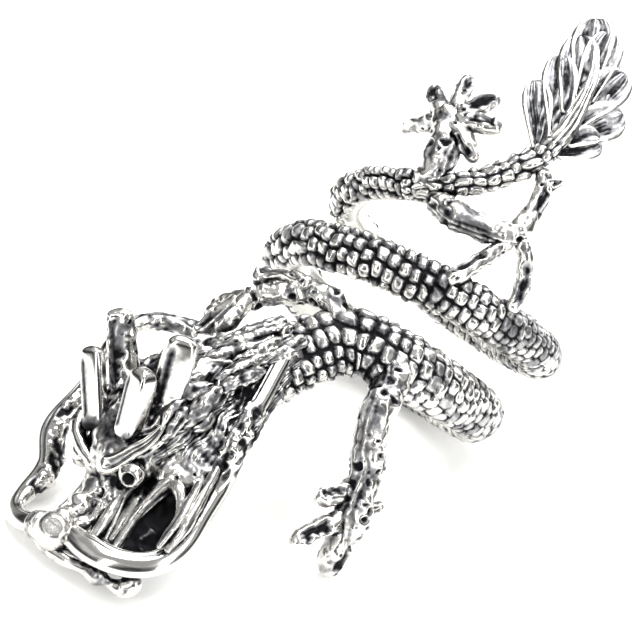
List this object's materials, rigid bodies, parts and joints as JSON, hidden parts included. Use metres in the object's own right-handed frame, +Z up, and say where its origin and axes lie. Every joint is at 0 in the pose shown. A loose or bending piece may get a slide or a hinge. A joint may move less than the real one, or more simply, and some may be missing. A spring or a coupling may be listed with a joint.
{
  "type": "dragon ring",
  "caption": "Cast silver finger ring: a scaly dragon winds round the finger, with horned head, long whiskers, clawed legs and a leaf-shaped tail fan.",
  "frame": {"origin": "middle of the ring's box, on the surface that it lies on", "axes": "+Z up; +X is the longest extent and points to the dragon's head; the finger's line runs in the XZ plane, down by 28.6 degrees towards +X; +Y is on the dragon's left"},
  "size_m": [0.0572, 0.0258, 0.0348],
  "materials": {
    "silver": "cast sterling silver, oxidised dark in the recesses and polished bright on the raised parts"
  },
  "bodies": {
    "root": {"dragon_ring": "silver"}
  },
  "joints": []
}
